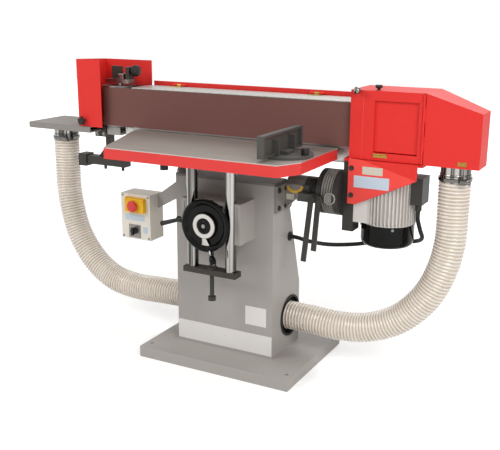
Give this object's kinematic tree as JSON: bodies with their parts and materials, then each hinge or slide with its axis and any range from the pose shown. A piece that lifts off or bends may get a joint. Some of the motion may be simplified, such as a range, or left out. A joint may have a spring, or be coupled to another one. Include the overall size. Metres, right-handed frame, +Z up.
{
  "type": "edge sander",
  "caption": "Floor-standing edge sander with a long tilting belt head, a screw-lift table, two ribbed dust hoses and a side motor.",
  "frame": {"origin": "on the floor, under the middle of the base", "axes": "+X along the belt to the motor end, +Y to the back, +Z up"},
  "size_m": [1.858, 0.618, 1.092],
  "materials": {
    "stand_grey": "satin paint",
    "bracket_grey": "satin paint",
    "dark_metal": "satin paint",
    "red": "gloss paint",
    "cast_table": "ground top",
    "dark_cast": "painted",
    "chrome": "polished",
    "steel": "machined",
    "galvanised": "galvanised",
    "drum": "machined",
    "belt": "abrasive grit",
    "graphite": "graphite cloth",
    "brass": "satin",
    "motor_alloy": "painted silver",
    "black_plastic": "gloss",
    "knob_black": "satin",
    "off_white": "powder coat",
    "yellow": "satin",
    "stop_red": "gloss",
    "hose_clear": "translucent",
    "rubber": "matt"
  },
  "bodies": {
    "stand": {"base_plate": "stand_grey", "column": "stand_grey", "column_lid": "bracket_grey", "hose_edgings": "rubber", "dust_manifold": "galvanised", "lift_bracket": "bracket_grey", "tilt_bracket": "bracket_grey", "tilt_bearing": "bracket_grey", "control_arm": "stand_grey", "control_box": "off_white", "control_cover": "off_white", "switch_base": "yellow", "dust_hose_left": "hose_clear", "dust_hose_right": "hose_clear", "motor_cable": "rubber"},
    "table": {"table_top": "cast_table", "table_posts": "chrome", "crossbar": "dark_metal", "lift_nut": "brass", "miter_base": "dark_cast"},
    "handwheel": {"handwheel": "black_plastic", "wheel_ring": "chrome", "wheel_shaft": "steel", "crank_link": "chrome"},
    "head": {"head_beam": "dark_metal", "platen": "steel", "graphite_pad": "graphite", "sanding_belt": "belt", "belt_top_cover": "galvanised", "hinge_leaves": "brass", "drum_housing": "red", "chute": "red", "motor_panel": "red", "motor_mount": "dark_metal", "motor_body": "motor_alloy", "fan_cover": "knob_black", "terminal_box": "motor_alloy", "tilt_trunnion": "dark_cast", "idler_guard": "red", "end_table": "cast_table", "end_carrier": "dark_metal"},
    "drive": {"drive_drum": "drum", "motor_fan": "knob_black"},
    "table_knob": {"table_knob": "knob_black"},
    "miter_fence": {"miter_fence": "dark_cast"},
    "miter_knob": {"miter_knob": "knob_black"},
    "crank_grip": {"crank_grip": "black_plastic"},
    "lift_spindle": {"lift_spindle": "steel"},
    "table_lock": {"table_lock": "knob_black"},
    "switch_flap": {"switch_flap": "yellow"},
    "stop_button": {"stop_button": "stop_red"},
    "selector_knob": {"selector_knob": "knob_black"},
    "rear_cover": {"rear_cover": "red"},
    "drum_door": {"drum_door": "red"},
    "hatch": {"hatch": "red"},
    "tilt_lever_front": {"tilt_lever_front": "dark_metal"},
    "tilt_lever_rear": {"tilt_lever_rear": "dark_metal"},
    "idler_drum": {"idler_drum": "drum"},
    "tension_carriage": {"tension_carriage": "steel"},
    "tracking_knob": {"tracking_knob": "knob_black"}
  },
  "joints": [
    {"name": "handwheel_spin", "type": "hinge", "parent": "stand", "child": "handwheel", "pos_m": [-0.01, -0.234, 0.56], "axis": [0, 1, 0], "range_deg": [-1085, 4685]},
    {"name": "table_lift", "type": "slide", "parent": "stand", "child": "table", "axis": [0, 0, 1], "range_m": [-0.018, 0.078]},
    {"name": "spindle_spin", "type": "hinge", "parent": "stand", "child": "lift_spindle", "pos_m": [-0.01, -0.205, 0.56], "axis": [0, 0, 1], "range_deg": [-1085, 4685]},
    {"name": "crank_grip_spin", "type": "hinge", "parent": "handwheel", "child": "crank_grip", "pos_m": [0.004, -0.246, 0.48], "axis": [0.5486, -0.454, -0.7021], "continuous": true},
    {"name": "table_lock_turn", "type": "hinge", "parent": "stand", "child": "table_lock", "pos_m": [-0.13, -0.205, 0.556], "axis": [1, 0, 0], "range_deg": [-40, 60]},
    {"name": "switch_flap_swing", "type": "hinge", "parent": "stand", "child": "switch_flap", "pos_m": [-0.394, -0.134, 0.585], "axis": [-1, 0, 0], "range_deg": [0, 100]},
    {"name": "stop_button_press", "type": "slide", "parent": "switch_flap", "child": "stop_button", "axis": [0, 1, 0], "range_m": [0, 0.004], "stiffness_N_per_m": 800, "springref_m": -0.002},
    {"name": "selector_turn", "type": "hinge", "parent": "stand", "child": "selector_knob", "pos_m": [-0.405, -0.12, 0.458], "axis": [0, 1, 0], "range_deg": [-45, 45]},
    {"name": "table_knob_turn", "type": "hinge", "parent": "table", "child": "table_knob", "pos_m": [-0.115, -0.336, 0.78], "axis": [0, 0, 1], "range_deg": [-180, 180]},
    {"name": "miter_swivel", "type": "hinge", "parent": "table", "child": "miter_fence", "pos_m": [0.28, -0.211, 0.835], "axis": [0, 0, 1], "range_deg": [-45, 45]},
    {"name": "miter_knob_turn", "type": "hinge", "parent": "table", "child": "miter_knob", "pos_m": [0.348, -0.211, 0.845], "axis": [0, 0, 1], "range_deg": [-180, 180]},
    {"name": "head_tilt", "type": "hinge", "parent": "stand", "child": "head", "pos_m": [0, 0.02, 0.67], "axis": [-1, 0, 0], "range_deg": [0, 90], "deforming": ["dust_hose_left", "dust_hose_right", "motor_cable"]},
    {"name": "tilt_lever_front_turn", "type": "hinge", "parent": "stand", "child": "tilt_lever_front", "pos_m": [0.32, -0.094, 0.658], "axis": [0, -1, 0], "range_deg": [0, 35]},
    {"name": "tilt_lever_rear_turn", "type": "hinge", "parent": "stand", "child": "tilt_lever_rear", "pos_m": [0.342, -0.082, 0.658], "axis": [0, -1, 0], "range_deg": [0, 35]},
    {"name": "drive_spin", "type": "hinge", "parent": "head", "child": "drive", "pos_m": [0.53859, 0.0825, 0.9], "axis": [0, 0, 1], "continuous": true},
    {"name": "belt_tension", "type": "slide", "parent": "head", "child": "tension_carriage", "axis": [1, 0, 0], "range_m": [0, 0.02]},
    {"name": "idler_spin", "type": "hinge", "parent": "tension_carriage", "child": "idler_drum", "pos_m": [-0.6075, 0.0825, 0.9], "axis": [0, 0, 1], "continuous": true},
    {"name": "tracking_turn", "type": "hinge", "parent": "tension_carriage", "child": "tracking_knob", "pos_m": [-0.6075, 0.0825, 1.047], "axis": [1, 0, 0], "range_deg": [-180, 180]},
    {"name": "rear_cover_swing", "type": "hinge", "parent": "head", "child": "rear_cover", "pos_m": [0, 0.15, 0.994], "axis": [1, 0, 0], "range_deg": [0, 100]},
    {"name": "drum_door_swing", "type": "hinge", "parent": "head", "child": "drum_door", "pos_m": [0.67, -0.006, 0.9], "axis": [0, 0, 1], "range_deg": [0, 90]},
    {"name": "hatch_swing", "type": "hinge", "parent": "drum_door", "child": "hatch", "pos_m": [0.578, 0.00535, 0.829], "axis": [1, 0, 0], "range_deg": [0, 100]}
  ],
  "couplings": [
    {"joint": "handwheel_spin", "follows": "table_lift", "rad_per_m": 1047.2},
    {"joint": "spindle_spin", "follows": "table_lift", "rad_per_m": 1047.2},
    {"joint": "idler_spin", "follows": "drive_spin", "ratio": 1}
  ]
}
